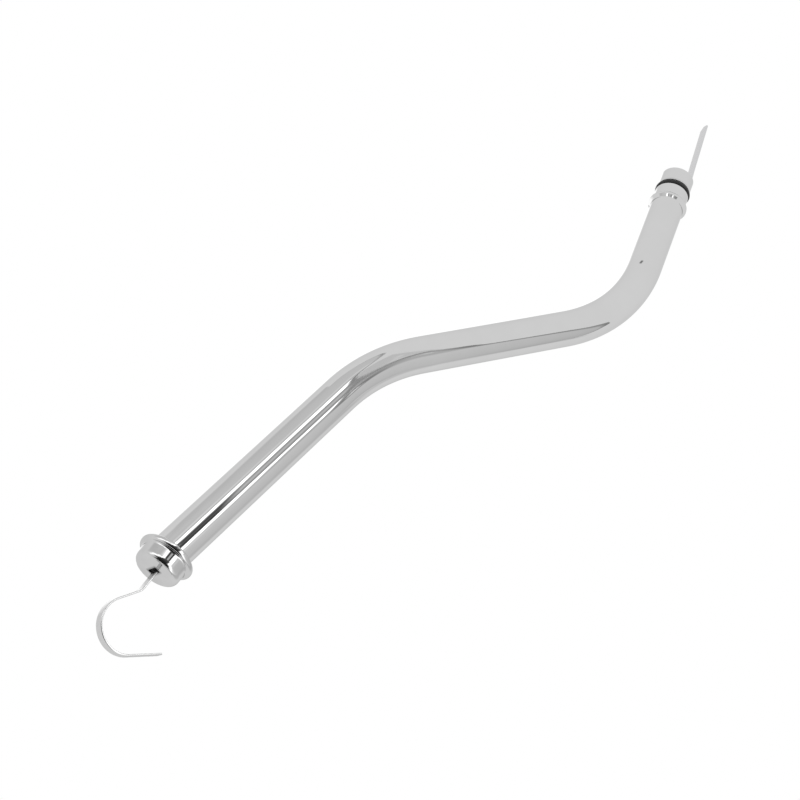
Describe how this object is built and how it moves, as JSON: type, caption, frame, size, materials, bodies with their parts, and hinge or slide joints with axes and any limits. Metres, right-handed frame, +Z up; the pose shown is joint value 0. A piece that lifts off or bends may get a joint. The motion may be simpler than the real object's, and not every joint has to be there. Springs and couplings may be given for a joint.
{
  "type": "transmission filler tube with dipstick",
  "caption": "Chromed bent filler tube with a bead, O-ring and spigot at its lower end, holding a dipstick with a stamped cap and a flat hook handle.",
  "frame": {"origin": "under the middle of the whole, on the surface that it lies on", "axes": "+X runs from the handle to the blade's tip, along the tube's mouth; +Z is up, square to the plane that the tube is bent in"},
  "size_m": [0.6726, 0.1208, 0.0361],
  "materials": {
    "chromed_tube": "polished chrome plate",
    "chromed_cap": "polished chrome plate over a stamping",
    "chromed_strip": "polished chrome plate",
    "plain_steel": "satin rolled steel",
    "black_rubber": "oiled black rubber"
  },
  "bodies": {
    "tube": {"filler_tube": "chromed_tube", "tube_oring": "black_rubber"},
    "dipstick": {"cap_shell": "chromed_cap", "cap_seal": "black_rubber", "seal_washer": "plain_steel", "handle_strip": "chromed_strip", "dipstick_blade": "plain_steel", "rivet_upper": "plain_steel", "rivet_lower": "plain_steel"}
  },
  "joints": [
    {"name": "dipstick_pull", "type": "slide", "parent": "tube", "child": "dipstick", "axis": [-1, 0, 0], "range_m": [0, 0.035]}
  ]
}
